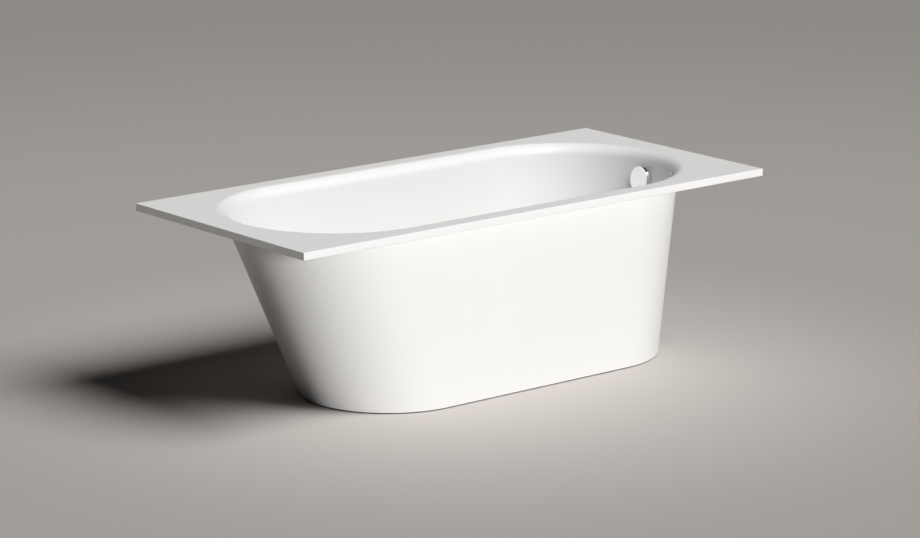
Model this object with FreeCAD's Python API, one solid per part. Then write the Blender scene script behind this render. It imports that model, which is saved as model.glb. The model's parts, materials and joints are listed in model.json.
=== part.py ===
import FreeCAD, Part
import math
import os

from FreeCAD import Placement, Rotation, Vector

# Bathtub with a flat rectangular deck, an oval basin and a tapering oval skirt.
# +X points to the drain end, -X to the sloping head end, -Y to the front, and the floor is z = 0.

# Deck
deck_length = 1700.0
deck_width = 800.0
deck_thickness = 22.0
deck_edge_round = 1.2
rim_height = 570.0
rim_roll_radius = 36.0

# Basin: margins run from the deck's edges to the wall's top, runs are how far the wall comes in by the floor
basin_floor_height = 140.0
basin_side_margin = 81.0
basin_head_margin = 97.0
basin_drain_margin = 105.0
basin_side_run = 57.0
basin_head_run = 193.0
basin_drain_run = 76.0
basin_wall = 5.5
basin_floor_thickness = 7.0
basin_floor_round = 80.0

# Skirt: it stands off the basin's wall by the top gaps at the deck
# The spreads are how much further off it stands one spread height below the deck
skirt_side_top_gap = 4.4
skirt_head_top_gap = 3.4
skirt_drain_top_gap = 5.4
skirt_side_spread = 10.7
skirt_head_spread = 4.1
skirt_drain_spread = 47.8
skirt_spread_height = 545.0
skirt_wall = 4.0
skirt_floor_gap = 3.0
skirt_seal_thickness = 1.0
skirt_seal_inset = 0.6

# Base board and cradle
board_thickness = 15.0
board_margin = 9.0
board_waste_hole_radius = 58.0
rail_width = 40.0
rail_height = 25.0
rail_sheet = 3.0
rail_head_inset = 32.0
rail_drain_inset = 106.0
rail_skirt_gap = 21.0
rail_screw_pitch = 80.0
rail_screws_each = 4
screw_radius = 2.5
screw_length = 12.0
screw_head_radius = 5.0
screw_head_height = 3.0
buffer_length = 36.0
buffer_height = 20.0

# Levelling feet
foot_outreach = 25.0
stud_radius = 6.0
stud_above_web = 17.0
nut_flats = 19.0
nut_height = 10.0
pad_radius = 24.0
pad_height = 12.0
pad_round = 3.0
pad_socket_floor = 4.0

# Waste
waste_inset = 189.0
waste_hole_radius = 26.0
waste_recess_radius = 36.0
waste_recess_depth = 3.0
flange_rim_radius = 35.0
flange_seal_thickness = 1.0
flange_bore_radius = 21.0
flange_tail_wall = 4.0
flange_tail_length = 20.0
spider_arms = 3
spider_arm_width = 4.0
spider_height = 6.0
spider_rise = 3.0
guide_radius = 7.0
guide_height = 8.0
waste_gasket_thickness = 3.0
collar_radius = 40.0
collar_height = 6.0
neck_height = 16.0
bowl_radius = 34.0
bowl_height = 46.0
bowl_wall = 3.0
spigot_length = 22.0
spigot_wall = 3.7

# Tail pipe
pipe_radius = 20.0
pipe_wall = 2.0
pipe_end_height = 8.0
pipe_seal_height = 4.0
pipe_nut_flats = 58.0
pipe_nut_height = 24.0
pipe_nut_lip = 5.0
pipe_bead_radius = 22.0
pipe_bead_height = 3.0
pipe_bead_gap = 2.0

# Plug and its lever
plug_radius = 31.0
plug_edge = 1.4
plug_crown = 2.8
plug_seal_radius = 27.5
plug_seal_width = 4.5
plug_seal_height = 2.0
stem_radius = 4.0
lever_length = 20.0
lever_half_swing = math.radians(18.0)
lever_drop = 36.0
lever_hub_radius = 7.0
lever_width = 10.0
lever_arm_height = 3.0
lever_nose_radius = 3.0
axle_radius = 4.0
axle_boss_radius = 8.0
axle_boss_end = 35.0
crank_length = 25.0
crank_thickness = 4.0
crank_hub_radius = 7.0
crank_pin_radius = 2.0
crank_pin_length = 6.0

# Overflow
overflow_drop = 81.0
overflow_hole_radius = 25.0
overflow_spot_radius = 33.0
overflow_boss_radius = 38.0
overflow_boss_rise = 0.4
overflow_gasket_thickness = 1.2
overflow_gasket_radius = 36.0
overflow_front_seal = 1.0
overflow_plate_radius = 31.5
overflow_plate_thickness = 3.0
overflow_port_radius = 4.6
overflow_port_pitch = 16.5
bearing_radius = 8.0
bearing_length = 7.0
knob_radius = 40.0
knob_depth = 13.0
knob_wall_gap = 4.5
knob_face_thickness = 4.0
knob_rim_wall = 3.0
knob_edge_round = 1.0
knob_hub_length = 4.5
spindle_radius = 4.0
knob_swing = math.radians(90.0)
drum_thickness = 3.0
overflow_screw_pitch = 19.6
overflow_screw_radius = 2.0
overflow_screw_head_radius = 4.0
overflow_screw_head_height = 2.4
overflow_screw_length = 11.0
overflow_screw_boss_radius = 4.0

# Flat overflow channel between basin and skirt
channel_half_width = 26.0
channel_wall = 1.2
channel_flange = 1.5
channel_top = 28.0
channel_length = 190.0
channel_skirt_gap = 1.0
channel_neck_wall = 2.0

# Hose and control cable
hose_spigot_radius = 9.2
hose_spigot_wall = 1.4
hose_spigot_length = 18.0
hose_wall = 2.0
hose_bend_radius = 80.0
spout_drop = 38.0
spout_reach = 68.0
clip_width = 8.0
clip_thickness = 1.2
clip_lug = 5.0
cable_radius = 1.8
cable_bore_radius = 1.0
cable_bend_share = 0.45
cable_knee_share = 0.525
cable_corner_inset = 24.0
wire_radius = 0.7
wire_inside_cable = 20.0
ferrule_radius = 3.2
ferrule_length = 14.0
ferrule_face = 3.0
grommet_radius = 4.0
grommet_length = 6.0
stop_plate_reach = 42.0
stop_plate_thickness = 6.0
stop_plate_margin = 7.0

# Fits
running_clearance = 0.05
seat_clearance = 0.2
loose_clearance = 0.3
overcut = 5.0

# Levels and axes worked out from the sizes above
deck_underside = rim_height - deck_thickness
floor_top = basin_floor_height
basin_depth = rim_height - floor_top
floor_underside = floor_top - basin_floor_thickness
board_underside = floor_underside - board_thickness
web_underside = board_underside - rail_sheet
rail_underside = board_underside - rail_height
flange_seat = floor_top - waste_recess_depth + flange_seal_thickness
collar_top = floor_underside - waste_gasket_thickness
bowl_top = collar_top - collar_height
bowl_floor = collar_top - bowl_height
spigot_end = bowl_floor - spigot_length
pipe_nut_bottom = spigot_end - pipe_seal_height - pipe_nut_lip
lever_z = floor_top - lever_drop
spout_z = floor_top - spout_drop
up = Vector(0, 0, 1)
towards_drain = Vector(1, 0, 0)
towards_back = Vector(0, 1, 0)


def stadium(half_width, head_tip, drain_tip, z):
    head_x = head_tip + half_width
    drain_x = drain_tip - half_width
    front_head = Vector(head_x, -half_width, z)
    front_drain = Vector(drain_x, -half_width, z)
    back_drain = Vector(drain_x, half_width, z)
    back_head = Vector(head_x, half_width, z)
    return Part.Wire([
        Part.LineSegment(front_head, front_drain).toShape(),
        Part.Arc(front_drain, Vector(drain_tip, 0, z), back_drain).toShape(),
        Part.LineSegment(back_drain, back_head).toShape(),
        Part.Arc(back_head, Vector(head_tip, 0, z), front_head).toShape(),
    ])


def grown(sizes, amount):
    half_width, head_tip, drain_tip = sizes
    return half_width + amount, head_tip - amount, drain_tip + amount


def basin_sizes(z):
    share = (rim_height - z) / basin_depth
    half_width = deck_width / 2 - basin_side_margin - basin_side_run * share
    head_tip = -deck_length / 2 + basin_head_margin + basin_head_run * share
    drain_tip = deck_length / 2 - basin_drain_margin - basin_drain_run * share
    return half_width, head_tip, drain_tip


def skirt_sizes(z):
    share = (deck_underside - z) / skirt_spread_height
    half_width, head_tip, drain_tip = grown(basin_sizes(z), basin_wall + skirt_wall)
    half_width += skirt_side_top_gap + skirt_side_spread * share
    head_tip -= skirt_head_top_gap + skirt_head_spread * share
    drain_tip += skirt_drain_top_gap + skirt_drain_spread * share
    return half_width, head_tip, drain_tip


def tapered_solid(sizes, growth, top_z, bottom_z):
    top = stadium(*grown(sizes(top_z), growth), top_z)
    bottom = stadium(*grown(sizes(bottom_z), growth), bottom_z)
    return Part.makeLoft([top, bottom], True, True)


def flat_oval(sizes, bottom_z, top_z):
    return Part.Face(stadium(*sizes, bottom_z)).extrude(Vector(0, 0, top_z - bottom_z))


def edges_at(shape, z):
    return [edge for edge in shape.Edges if all(abs(corner.Z - z) < 1e-4 for corner in edge.Vertexes)]


def rod(radius, start, end):
    return Part.makeCylinder(radius, (end - start).Length, start, end - start)


def ring(outer_radius, inner_radius, start, end):
    along = (end - start).normalize()
    bore = rod(inner_radius, start - along, end + along)
    return rod(outer_radius, start, end).cut(bore)


def hexagon(flats, start, end):
    reach = flats / 2 / math.cos(math.pi / 6)
    corners = []
    for step in range(7):
        turn = math.pi * step / 3
        corners.append(start + Vector(reach * math.cos(turn), reach * math.sin(turn), 0))
    return Part.Face(Part.makePolygon(corners)).extrude(end - start)


def save(name, *shapes):
    shape = shapes[0] if len(shapes) == 1 else Part.makeCompound(list(shapes))
    shape.exportStep(os.path.join("parts", name + ".step"))


# Waste axis, in plan at the drain end of the basin floor
waste_x = basin_sizes(floor_top)[2] - waste_inset


def on_waste(z):
    return Vector(waste_x, 0, z)


# Overflow frame: x across the wall, y up along the wall, z square out of the wall into the basin
overflow_z = rim_height - overflow_drop
wall_lean = math.atan(basin_drain_run / basin_depth)
into_basin = Vector(-math.cos(wall_lean), 0, math.sin(wall_lean))
up_wall = Vector(math.sin(wall_lean), 0, math.cos(wall_lean))
across_wall = up_wall.cross(into_basin)
overflow_point = Vector(basin_sizes(overflow_z)[2], 0, overflow_z)
overflow_frame = Placement(overflow_point, Rotation(across_wall, up_wall, into_basin, "ZYX"))
overflow_boss_depth = basin_wall + overflow_boss_rise
channel_front = -overflow_boss_depth - overflow_gasket_thickness


def at_overflow(shape):
    placed = shape.copy()
    placed.Placement = overflow_frame.multiply(placed.Placement)
    return placed


def overflow_spot(across, along, out):
    return overflow_frame.multVec(Vector(across, along, out))


def skirt_back(along):
    # Where the skirt's inner face passes behind the overflow channel's edges, in the overflow frame
    places = []
    for z in (overflow_z, overflow_z - channel_length):
        half_width, head_tip, drain_tip = grown(skirt_sizes(z), -skirt_wall)
        bulge = math.sqrt(half_width ** 2 - channel_half_width ** 2)
        reach = Vector(drain_tip - half_width + bulge, 0, z) - overflow_point
        places.append((reach.dot(up_wall), reach.dot(into_basin)))
    (first_along, first_out), (second_along, second_out) = places
    slope = (second_out - first_out) / (second_along - first_along)
    return first_out + slope * (along - first_along)


def channel_back(along):
    return skirt_back(along) + channel_skirt_gap


channel_end_centre = (channel_front + channel_back(-channel_length)) / 2


# The roll leaves part of the wall's thickness where it passes the deck's underside
kept_wall = 0.4 * basin_wall
rolled_wall = basin_wall - kept_wall
rim_roll_limit = rolled_wall + deck_thickness + math.sqrt(2 * rolled_wall * deck_thickness)
rim_roll = min(rim_roll_radius, rim_roll_limit)


def make_tub_shell():
    deck = Part.makeBox(deck_length, deck_width, deck_thickness,
                        Vector(-deck_length / 2, -deck_width / 2, deck_underside))
    deck = deck.makeFillet(deck_edge_round, deck.Edges)
    outside = tapered_solid(basin_sizes, basin_wall, deck_underside + deck_thickness / 2, floor_underside)
    outside = outside.makeFillet(basin_floor_round + basin_wall, edges_at(outside, floor_underside))
    inside = tapered_solid(basin_sizes, 0, rim_height + overcut, floor_top)
    inside = inside.makeFillet(basin_floor_round, edges_at(inside, floor_top))
    shell = deck.fuse(outside).cut(inside)
    rim = [edge for edge in edges_at(shell, rim_height)
           if abs(edge.CenterOfMass.y) < deck_width / 2 - basin_side_margin / 2
           and abs(edge.CenterOfMass.x) < deck_length / 2 - basin_head_margin / 2]
    shell = shell.makeFillet(rim_roll, rim)
    boss = at_overflow(rod(overflow_boss_radius, Vector(0, 0, -overflow_boss_depth), Vector(0, 0, -1)))
    shell = shell.fuse(boss.cut(inside))
    shell = shell.cut(at_overflow(rod(overflow_spot_radius, Vector(), Vector(0, 0, 2 * overcut))))
    hole_start = Vector(0, 0, -overflow_boss_depth - 1)
    shell = shell.cut(at_overflow(rod(overflow_hole_radius, hole_start, Vector(0, 0, overcut))))
    recess_floor = on_waste(floor_top - waste_recess_depth)
    shell = shell.cut(rod(waste_recess_radius, recess_floor, on_waste(floor_top + 1)))
    return shell.cut(rod(waste_hole_radius, on_waste(floor_underside - 1), on_waste(floor_top)))


def make_skirt():
    skirt_top = deck_underside - skirt_seal_thickness
    outside = tapered_solid(skirt_sizes, 0, skirt_top, skirt_floor_gap)
    inside = tapered_solid(skirt_sizes, -skirt_wall, skirt_top + 1, skirt_floor_gap - 1)
    return outside.cut(inside)


def make_skirt_seal():
    skirt_top = deck_underside - skirt_seal_thickness
    sizes = skirt_sizes(skirt_top)
    outside = flat_oval(grown(sizes, -skirt_seal_inset), skirt_top, deck_underside)
    inside_sizes = grown(sizes, skirt_seal_inset - skirt_wall)
    return outside.cut(flat_oval(inside_sizes, skirt_top - 1, deck_underside + 1))


# Flat part of the basin's underside, inside its rounded edge
def flat_inset(run):
    turn = math.pi / 2 - math.atan(run / basin_depth)
    return (basin_floor_round + basin_wall) * math.tan(turn / 2) - basin_wall


floor_half_width, floor_head_tip, floor_drain_tip = basin_sizes(floor_underside)
board_half_width = floor_half_width - flat_inset(basin_side_run) - board_margin
board_sizes = (
    board_half_width,
    floor_head_tip + flat_inset(basin_head_run) + board_margin,
    floor_drain_tip - flat_inset(basin_drain_run) - board_margin,
)

# Cradle rails, square across the straight stretch of the skirt
rail_half_width, rail_head_tip, rail_drain_tip = grown(skirt_sizes(rail_underside), -skirt_wall)
rail_reach = rail_half_width - rail_skirt_gap
foot_y = board_half_width + foot_outreach
rail_places = {
    "head": rail_head_tip + rail_half_width + rail_head_inset,
    "drain": rail_drain_tip - rail_half_width - rail_drain_inset,
}
sides = {"front": -1, "back": 1}
rail_screw_ys = [(step - (rail_screws_each - 1) / 2) * rail_screw_pitch for step in range(rail_screws_each)]


def make_base_board():
    board = flat_oval(board_sizes, board_underside, floor_underside)
    waste_hole = rod(board_waste_hole_radius, on_waste(board_underside - 1), on_waste(floor_underside + 1))
    board = board.cut(waste_hole)
    for x in rail_places.values():
        for y in rail_screw_ys:
            start = Vector(x, y, board_underside - 1)
            end = Vector(x, y, web_underside + screw_length + loose_clearance)
            board = board.cut(rod(screw_radius + running_clearance, start, end))
    return board


def make_rail(x):
    outside = Part.makeBox(rail_width, 2 * rail_reach, rail_height,
                           Vector(x - rail_width / 2, -rail_reach, rail_underside))
    hollow = Part.makeBox(rail_width - 2 * rail_sheet, 2 * rail_reach + 2, rail_height - rail_sheet + 1,
                          Vector(x - rail_width / 2 + rail_sheet, -rail_reach - 1, rail_underside - 1))
    rail = outside.cut(hollow)
    for y in rail_screw_ys:
        start = Vector(x, y, web_underside - 1)
        rail = rail.cut(rod(screw_radius + running_clearance, start, start + up * (rail_sheet + 2)))
    for side in sides.values():
        start = Vector(x, side * foot_y, web_underside - 1)
        rail = rail.cut(rod(stud_radius + loose_clearance, start, start + up * (rail_sheet + 2)))
    return rail


def make_rail_screws():
    screws = []
    for x in rail_places.values():
        for y in rail_screw_ys:
            seat = Vector(x, y, web_underside)
            head = rod(screw_head_radius, seat - up * screw_head_height, seat)
            screws.append(head.fuse(rod(screw_radius, seat, seat + up * screw_length)))
    return screws


def make_skirt_buffer(x, side):
    # Rubber block in the rail's end; its outer face leans with the skirt
    top_z = web_underside - loose_clearance
    bottom_z = top_z - buffer_height
    inner_y = rail_reach - buffer_length / 2
    outline = []
    for z in (bottom_z, top_z):
        outline.append(Vector(0, side * (skirt_sizes(z)[0] - skirt_wall - loose_clearance), z))
    outline.append(Vector(0, side * inner_y, top_z))
    outline.append(Vector(0, side * inner_y, bottom_z))
    outline.append(outline[0])
    width = rail_width - 2 * rail_sheet - 2 * loose_clearance
    face = Part.Face(Part.makePolygon(outline))
    face.translate(Vector(x - width / 2, 0, 0))
    return face.extrude(Vector(width, 0, 0))


def make_stud(x, y):
    return rod(stud_radius, Vector(x, y, pad_socket_floor), Vector(x, y, web_underside + stud_above_web))


def make_pad(x, y):
    foot = Vector(x, y, 0)
    pad = rod(pad_radius, foot, foot + up * pad_height)
    pad = pad.makeFillet(pad_round, edges_at(pad, pad_height))
    socket_floor = foot + up * pad_socket_floor
    return pad.cut(rod(stud_radius + running_clearance, socket_floor, foot + up * (pad_height + 1)))


def make_stud_nuts(base_z):
    nuts = []
    for x in rail_places.values():
        for side in sides.values():
            seat = Vector(x, side * foot_y, base_z)
            hole = rod(stud_radius + running_clearance, seat - up, seat + up * (nut_height + 1))
            nuts.append(hexagon(nut_flats, seat, seat + up * nut_height).cut(hole))
    return nuts


def make_waste_flange():
    tail_radius = flange_bore_radius + flange_tail_wall
    tail_end = flange_seat - flange_tail_length
    flange = rod(flange_rim_radius, on_waste(flange_seat), on_waste(floor_top))
    flange = flange.fuse(rod(tail_radius, on_waste(tail_end), on_waste(flange_seat)))
    flange = flange.cut(rod(flange_bore_radius, on_waste(tail_end - 1), on_waste(floor_top + 1)))
    spider_bottom = tail_end + spider_rise
    for arm in range(spider_arms):
        bar = Part.makeBox(flange_bore_radius + flange_tail_wall / 2, spider_arm_width, spider_height,
                           on_waste(spider_bottom) - towards_back * spider_arm_width / 2)
        bar.rotate(on_waste(spider_bottom), up, 360.0 * arm / spider_arms)
        flange = flange.fuse(bar)
    flange = flange.fuse(rod(guide_radius, on_waste(spider_bottom), on_waste(spider_bottom + guide_height)))
    return flange.cut(rod(stem_radius + running_clearance, on_waste(tail_end - 1), on_waste(floor_top + 1)))


# The lever lies nose down at rest, half its swing below level
lever_pivot = Vector(waste_x - lever_length, 0, lever_z)
axle_end = axle_boss_end + loose_clearance + crank_thickness
cable_y = axle_end + crank_pin_length / 2
cable_z = lever_z - crank_length * (1 + math.cos(lever_half_swing)) / 2
plug_travel = 2 * lever_length * math.sin(lever_half_swing)
wire_travel = 2 * crank_length * math.sin(lever_half_swing)
stem_foot = lever_z - plug_travel / 2 + lever_nose_radius + loose_clearance + seat_clearance
plug_base = floor_top + seat_clearance
stop_plate_x = waste_x + stop_plate_reach
cable_end = Vector(stop_plate_x + stop_plate_thickness + ferrule_face, cable_y, cable_z)


def lowered(shape):
    rested = shape.copy()
    rested.rotate(lever_pivot, towards_back, math.degrees(lever_half_swing))
    return rested


def make_waste_body():
    tail_fit = flange_bore_radius + flange_tail_wall + seat_clearance
    spout_end = Vector(waste_x + spout_reach, 0, spout_z)
    body = rod(collar_radius, on_waste(bowl_top), on_waste(collar_top))
    body = body.fuse(rod(bowl_radius, on_waste(bowl_floor), on_waste(bowl_top)))
    body = body.fuse(rod(pipe_radius + spigot_wall, on_waste(spigot_end), on_waste(bowl_floor)))
    boss_start = lever_pivot + towards_back * lever_width
    boss_end = lever_pivot + towards_back * axle_boss_end
    body = body.fuse(rod(axle_boss_radius, boss_start, boss_end))
    body = body.fuse(rod(hose_spigot_radius, on_waste(spout_z), spout_end))
    plate_foot = Vector(stop_plate_x, -hose_spigot_radius, cable_z - stop_plate_margin)
    plate = Part.makeBox(stop_plate_thickness, cable_y + hose_spigot_radius + stop_plate_margin,
                         spout_z + hose_spigot_radius - plate_foot.z, plate_foot)
    body = body.fuse(plate)
    neck_end = collar_top - neck_height
    body = body.cut(rod(tail_fit, on_waste(neck_end - 1), on_waste(collar_top + 1)))
    bowl_inside = rod(bowl_radius - bowl_wall, on_waste(bowl_floor + bowl_wall), on_waste(neck_end))
    boss_inside = rod(axle_boss_radius, boss_start, boss_end)
    body = body.cut(bowl_inside.cut(boss_inside))
    body = body.cut(rod(pipe_radius + seat_clearance, on_waste(spigot_end - 1), on_waste(bowl_floor)))
    outlet_top = on_waste(bowl_floor + bowl_wall + 1)
    body = body.cut(rod(pipe_radius - pipe_wall, on_waste(bowl_floor - 1), outlet_top))
    spout_bore = hose_spigot_radius - hose_spigot_wall
    spout_start = on_waste(spout_z) + towards_drain * (bowl_radius - 2 * bowl_wall)
    body = body.cut(rod(spout_bore, spout_start, spout_end + towards_drain))
    body = body.cut(rod(axle_radius + running_clearance, lever_pivot, boss_end + towards_back))
    wire_hole_start = Vector(stop_plate_x - 1, cable_y, cable_z)
    return body.cut(rod(cable_bore_radius, wire_hole_start, cable_end))


def make_pipe_nut():
    nut_top = pipe_nut_bottom + pipe_nut_height
    nut = hexagon(pipe_nut_flats, on_waste(pipe_nut_bottom), on_waste(nut_top))
    nut = nut.cut(rod(pipe_radius + loose_clearance, on_waste(pipe_nut_bottom - 1), on_waste(spigot_end)))
    thread = pipe_radius + spigot_wall + seat_clearance
    return nut.cut(rod(thread, on_waste(pipe_nut_bottom + pipe_nut_lip), on_waste(nut_top + 1)))


def make_tail_pipe():
    # The bead stops the drain socket that goes over the pipe's lower end
    bead_top = pipe_nut_bottom - pipe_bead_gap
    pipe = rod(pipe_radius, on_waste(pipe_end_height), on_waste(bowl_floor))
    pipe = pipe.fuse(rod(pipe_bead_radius, on_waste(bead_top - pipe_bead_height), on_waste(bead_top)))
    return pipe.cut(rod(pipe_radius - pipe_wall, on_waste(pipe_end_height - 1), on_waste(bowl_floor + 1)))


def make_plug():
    base = plug_base + plug_seal_height
    crown_top = base + plug_edge + plug_crown
    dome_radius = (plug_radius ** 2 + plug_crown ** 2) / (2 * plug_crown)
    dome = Part.makeSphere(dome_radius, on_waste(crown_top - dome_radius))
    return rod(plug_radius, on_waste(base), on_waste(crown_top)).common(dome)


def make_lever():
    nose = lever_pivot + towards_drain * lever_length
    half = towards_back * lever_width / 2
    lever = rod(lever_hub_radius, lever_pivot - half, lever_pivot + half)
    arm = Part.makeBox(lever_length, lever_width, lever_arm_height,
                       lever_pivot - half - up * lever_arm_height / 2)
    lever = lever.fuse(arm).fuse(rod(lever_nose_radius, nose - half, nose + half))
    bore = rod(axle_radius + running_clearance, lever_pivot - 2 * half, lever_pivot + 2 * half)
    return lowered(lever.cut(bore))


def make_crank():
    inner = lever_pivot + towards_back * (axle_boss_end + loose_clearance)
    outer = inner + towards_back * crank_thickness
    drop = up * crank_length
    crank = rod(crank_hub_radius, inner, outer)
    crank = crank.fuse(rod(2 * crank_pin_radius, inner - drop, outer - drop))
    corner = inner - drop - towards_drain * 2 * crank_pin_radius
    crank = crank.fuse(Part.makeBox(4 * crank_pin_radius, crank_thickness, crank_length, corner))
    crank = crank.fuse(rod(crank_pin_radius, outer - drop, outer - drop + towards_back * crank_pin_length))
    bore = rod(axle_radius + running_clearance, inner - towards_back, outer + towards_back)
    return lowered(crank.cut(bore))


def make_pull_wire():
    # Eye round the crank pin, tall enough for the pin's rise and fall, with the straight wire behind it
    pin_x = lever_pivot.x - wire_travel / 2
    pin_rise = crank_length * (1 - math.cos(lever_half_swing))
    slot_width = 2 * (crank_pin_radius + loose_clearance)
    slot_height = slot_width + pin_rise
    eye_wall = crank_pin_radius
    thickness = crank_pin_length / 2
    corner = Vector(pin_x - slot_width / 2, cable_y - thickness / 2, cable_z - slot_height / 2)
    corner -= Vector(eye_wall, 0, eye_wall)
    eye = Part.makeBox(slot_width + 2 * eye_wall, thickness, slot_height + 2 * eye_wall, corner)
    slot = Part.makeBox(slot_width, thickness + 2, slot_height, corner + Vector(eye_wall, -1, eye_wall))
    start = Vector(pin_x + slot_width / 2 + eye_wall / 2, cable_y, cable_z)
    return eye.cut(slot).fuse(rod(wire_radius, start, cable_end + towards_drain * wire_inside_cable))


def make_overflow_plate():
    seat = Vector(0, 0, overflow_front_seal)
    plate = rod(overflow_plate_radius, seat, seat + up * overflow_plate_thickness)
    plate = plate.fuse(rod(bearing_radius, seat, seat + up * bearing_length))
    plate = plate.cut(rod(spindle_radius + running_clearance, seat - up, seat + up * (bearing_length + 1)))
    for turn in (50, 90, 130, 230, 270, 310):
        angle = math.radians(turn)
        port = seat + Vector(math.cos(angle), math.sin(angle), 0) * overflow_port_pitch
        plate = plate.cut(rod(overflow_port_radius, port - up, port + up * (overflow_plate_thickness + 1)))
    for side in (-1, 1):
        hole = seat + Vector(side * overflow_screw_pitch, 0, 0)
        hole_radius = overflow_screw_radius + running_clearance
        plate = plate.cut(rod(hole_radius, hole - up, hole + up * (overflow_plate_thickness + 1)))
    return at_overflow(plate)


def make_overflow_screws():
    screws = []
    for side in (-1, 1):
        seat = Vector(side * overflow_screw_pitch, 0, overflow_front_seal + overflow_plate_thickness)
        screw = rod(overflow_screw_head_radius, seat, seat + up * overflow_screw_head_height)
        screw = screw.fuse(rod(overflow_screw_radius, seat - up * overflow_screw_length, seat))
        screws.append(at_overflow(screw))
    return screws


def make_knob():
    back = Vector(0, 0, knob_wall_gap)
    front = back + up * knob_depth
    inner_face = front - up * knob_face_thickness
    knob = rod(knob_radius, back, front)
    knob = knob.makeFillet(knob_edge_round, edges_at(knob, front.z))
    knob = knob.cut(rod(knob_radius - knob_rim_wall, back - up, inner_face))
    knob = knob.fuse(rod(bearing_radius, inner_face - up * knob_hub_length, inner_face + up))
    socket_end = inner_face + up * knob_face_thickness / 2
    return at_overflow(knob.cut(rod(spindle_radius + running_clearance, back, socket_end)))


drum_front = channel_front - channel_wall - loose_clearance
drum_back = drum_front - drum_thickness
drum_radius = wire_travel / knob_swing + wire_radius


def make_spindle():
    front = knob_wall_gap + knob_depth - knob_face_thickness / 2 - loose_clearance
    return at_overflow(rod(spindle_radius, Vector(0, 0, drum_back), Vector(0, 0, front)))


def make_drum():
    bore_radius = spindle_radius + running_clearance
    drum = ring(drum_radius, bore_radius, Vector(0, 0, drum_back), Vector(0, 0, drum_front))
    groove_middle = Vector(0, 0, (drum_front + drum_back) / 2)
    groove_radius = drum_radius - 2 * wire_radius
    half = up * wire_radius
    groove = ring(drum_radius + 1, groove_radius, groove_middle - half, groove_middle + half)
    return at_overflow(drum.cut(groove))


# The control cable starts beside the drum, leaves the channel through its bottom and ends at the stop plate
cable_depth = channel_front - channel_wall - loose_clearance - cable_radius
cable_start = overflow_spot(-drum_radius, -drum_radius - wire_radius, cable_depth)
cable_exit = overflow_spot(-2 * drum_radius, -channel_length, cable_depth - channel_wall)
cable_run = (cable_exit - cable_start).normalize()
cable_knee_z = cable_z + cable_knee_share * (cable_exit.z - cable_z)
cable_knee = cable_exit + cable_run * ((cable_knee_z - cable_exit.z) / cable_run.z)
cable_corner = Vector(floor_drain_tip - cable_corner_inset, cable_y, cable_z)
cable_route = [cable_start, cable_knee, cable_corner, cable_end]


def tangent_path(points, radii):
    edges = []
    start = points[0]
    for before, corner, after, radius in zip(points, points[1:], points[2:], radii):
        arriving = (corner - before).normalize()
        leaving = (after - corner).normalize()
        turn = arriving.getAngle(leaving)
        reach = radius * math.tan(turn / 2)
        arc_start = corner - arriving * reach
        arc_end = corner + leaving * reach
        inward = (leaving - arriving).normalize()
        arc_middle = corner + inward * (radius / math.cos(turn / 2) - radius)
        edges.append(Part.LineSegment(start, arc_start).toShape())
        edges.append(Part.Arc(arc_start, arc_middle, arc_end).toShape())
        start = arc_end
    edges.append(Part.LineSegment(start, points[-1]).toShape())
    return Part.Wire(edges)


def bend_radii(points, share):
    radii = []
    for before, corner, after in zip(points, points[1:], points[2:]):
        turn = (corner - before).getAngle(after - corner)
        shorter = min((corner - before).Length, (after - corner).Length)
        radii.append(share * shorter / math.tan(turn / 2))
    return radii


def swept(path, radius):
    start = path.Edges[0].valueAt(path.Edges[0].FirstParameter)
    direction = path.Edges[0].tangentAt(path.Edges[0].FirstParameter)
    profile = Part.Wire(Part.makeCircle(radius, start, direction))
    return path.makePipeShell([profile], True, True)


def swept_tube(path, outer_radius, inner_radius):
    return swept(path, outer_radius).cut(swept(path, inner_radius))


def make_cable():
    radii = bend_radii(cable_route, cable_bend_share)
    path = tangent_path(cable_route, radii)
    cable = swept_tube(path, cable_radius, cable_bore_radius)
    section = math.pi * (cable_radius ** 2 - cable_bore_radius ** 2)
    print("cable radii", [round(radius, 1) for radius in radii], "length", round(path.Length, 1),
          "volume share", round(cable.Volume / (section * path.Length), 4))
    return cable


def make_lower_ferrule():
    face = cable_end - towards_drain * ferrule_face
    ferrule = rod(ferrule_radius, face, face + towards_drain * ferrule_length)
    socket_end = cable_end + towards_drain * ferrule_length
    ferrule = ferrule.cut(rod(cable_radius + running_clearance, cable_end, socket_end))
    return ferrule.cut(rod(cable_bore_radius, face - towards_drain, cable_end + towards_drain))


def make_grommet():
    half = cable_run * grommet_length / 2
    return ring(grommet_radius - running_clearance, cable_radius + running_clearance,
                cable_exit - half, cable_exit + half)


def channel_block(inset):
    # Wedge between basin and skirt; the inset leaves the wall's thickness all round
    top = channel_top - inset
    bottom = -channel_length + inset
    corners = [
        Vector(0, top, channel_front - inset),
        Vector(0, bottom, channel_front - inset),
        Vector(0, bottom, channel_back(bottom) + inset),
        Vector(0, top, channel_back(top) + inset),
    ]
    corners.append(corners[0])
    half_width = channel_half_width - inset
    face = Part.Face(Part.makePolygon(corners))
    face.translate(Vector(-half_width, 0, 0))
    return face.extrude(Vector(2 * half_width, 0, 0))


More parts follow.
